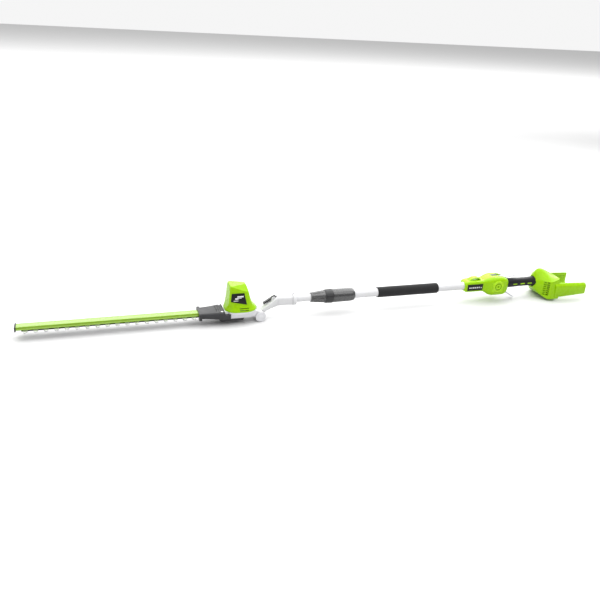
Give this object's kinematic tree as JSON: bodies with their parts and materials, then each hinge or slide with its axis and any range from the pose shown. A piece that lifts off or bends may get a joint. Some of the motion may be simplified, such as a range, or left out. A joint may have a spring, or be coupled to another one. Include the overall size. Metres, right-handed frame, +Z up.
{
  "type": "pole hedge trimmer",
  "caption": "Cordless pole hedge trimmer with a double-sided reciprocating blade, a folding head, a telescopic pole and a rear handle with an open battery bay.",
  "frame": {"origin": "centre of the footprint's box, on the ground", "axes": "+X along the pole towards the battery bay, +Z up through the motor cover, +Y across the tool"},
  "size_m": [1.93, 0.123, 0.1255],
  "materials": {
    "green_plastic": "moulded green plastic, lightly textured",
    "bar_green": "green painted aluminium channel",
    "grey_plastic": "dark grey moulded plastic",
    "collar_grey": "grey moulded plastic",
    "black_plastic": "black moulded plastic",
    "rubber": "black overmoulded rubber",
    "foam": "black closed-cell foam",
    "white_paint": "white painted metal",
    "cast_aluminium": "sand-textured aluminium casting",
    "steel": "ground steel",
    "dark_steel": "blackened steel",
    "light_plastic": "light grey moulded plastic",
    "badge_black": "plain black plate",
    "copper": "copper",
    "board_green": "circuit board"
  },
  "bodies": {
    "handle": {"outer_tube": "white_paint", "foam_grip": "foam", "collar_body": "collar_grey", "collet": "light_plastic", "cable_coil": "rubber", "handle_shell_left": "green_plastic", "handle_shell_right": "green_plastic", "label_plate": "badge_black", "grip_sleeve": "rubber", "trigger_pin": "steel", "trigger_spring": "steel", "lock_off_pin": "steel", "lock_off_spring": "steel", "trigger_switch": "black_plastic", "battery_housing_left": "green_plastic", "battery_housing_right": "green_plastic", "terminal_block": "black_plastic", "contact_left": "copper", "contact_right": "copper", "circuit_board": "board_green"},
    "collar": {"collar_nut": "collar_grey", "collar_ring": "black_plastic"},
    "front_tube": {"inner_tube": "white_paint", "tube_bush": "black_plastic", "neck_socket": "white_paint", "socket_ring": "white_paint", "ring_screw": "steel", "neck_casting": "white_paint", "lever_pin": "steel", "lever_spring": "dark_steel"},
    "neck_lever": {"release_lever": "black_plastic"},
    "head": {"gear_housing": "cast_aluminium", "gear_cover": "black_plastic", "blade_guard": "grey_plastic", "guard_screw_left": "steel", "guard_screw_right": "steel", "support_bar": "bar_green", "tip_plate": "dark_steel", "blade_bolt_1": "dark_steel", "blade_bolt_2": "dark_steel", "blade_bolt_3": "dark_steel", "blade_bolt_4": "dark_steel", "motor_cover": "green_plastic", "badge_plate": "badge_black", "motor_can": "steel", "magnet_ring": "dark_steel", "motor_end_cap": "black_plastic", "shaft_bearing": "steel", "pivot_bolt": "dark_steel", "pivot_cap_left": "cast_aluminium", "pivot_cap_right": "cast_aluminium"},
    "rotor": {"motor_shaft": "steel", "rotor_core": "copper", "pinion": "steel", "cooling_fan": "black_plastic"},
    "crank": {"crank_gear": "steel"},
    "blade_a": {"upper_blade": "steel"},
    "blade_b": {"lower_blade": "steel"},
    "trigger_lever": {"trigger": "light_plastic"},
    "palm_lever": {"lock_off_lever": "light_plastic"}
  },
  "joints": [
    {"name": "telescope", "type": "slide", "parent": "handle", "child": "front_tube", "axis": [-1, 0, 0], "range_m": [0, 0.4]},
    {"name": "collar_twist", "type": "hinge", "parent": "handle", "child": "collar", "pos_m": [-0.045, 0, 0.0595], "axis": [1, 0, 0], "range_deg": [0, 90]},
    {"name": "head_pivot", "type": "hinge", "parent": "front_tube", "child": "head", "pos_m": [-0.243, 0, 0.017], "axis": [0, 1, 0], "range_deg": [-90, 30]},
    {"name": "release_lever", "type": "hinge", "parent": "front_tube", "child": "neck_lever", "pos_m": [-0.198, 0, 0.0697], "axis": [0, 1, 0], "range_deg": [0, 12], "stiffness_Nm_per_rad": 0.3, "springref_deg": -17.19},
    {"name": "blade_slide_upper", "type": "slide", "parent": "head", "child": "blade_a", "axis": [1, 0, 0], "range_m": [-0.008, 0.008]},
    {"name": "blade_slide_lower", "type": "slide", "parent": "head", "child": "blade_b", "axis": [1, 0, 0], "range_m": [-0.008, 0.008]},
    {"name": "motor_spin", "type": "hinge", "parent": "head", "child": "rotor", "pos_m": [-0.3065, 0, 0.0595], "axis": [0, 0, 1], "continuous": true},
    {"name": "crank_spin", "type": "hinge", "parent": "head", "child": "crank", "pos_m": [-0.3315, 0, 0.0335], "axis": [0, 0, 1], "continuous": true},
    {"name": "trigger_squeeze", "type": "hinge", "parent": "handle", "child": "trigger_lever", "pos_m": [0.643, 0, 0.0325], "axis": [0, -1, 0], "range_deg": [0, 15], "stiffness_Nm_per_rad": 0.3, "springref_deg": -17.19},
    {"name": "lock_off_press", "type": "hinge", "parent": "handle", "child": "palm_lever", "pos_m": [0.635, 0, 0.0825], "axis": [0, 1, 0], "range_deg": [0, 10], "stiffness_Nm_per_rad": 0.3, "springref_deg": -17.19}
  ],
  "couplings": [
    {"joint": "blade_slide_lower", "follows": "blade_slide_upper", "ratio": -1},
    {"joint": "motor_spin", "follows": "crank_spin", "ratio": -4}
  ]
}
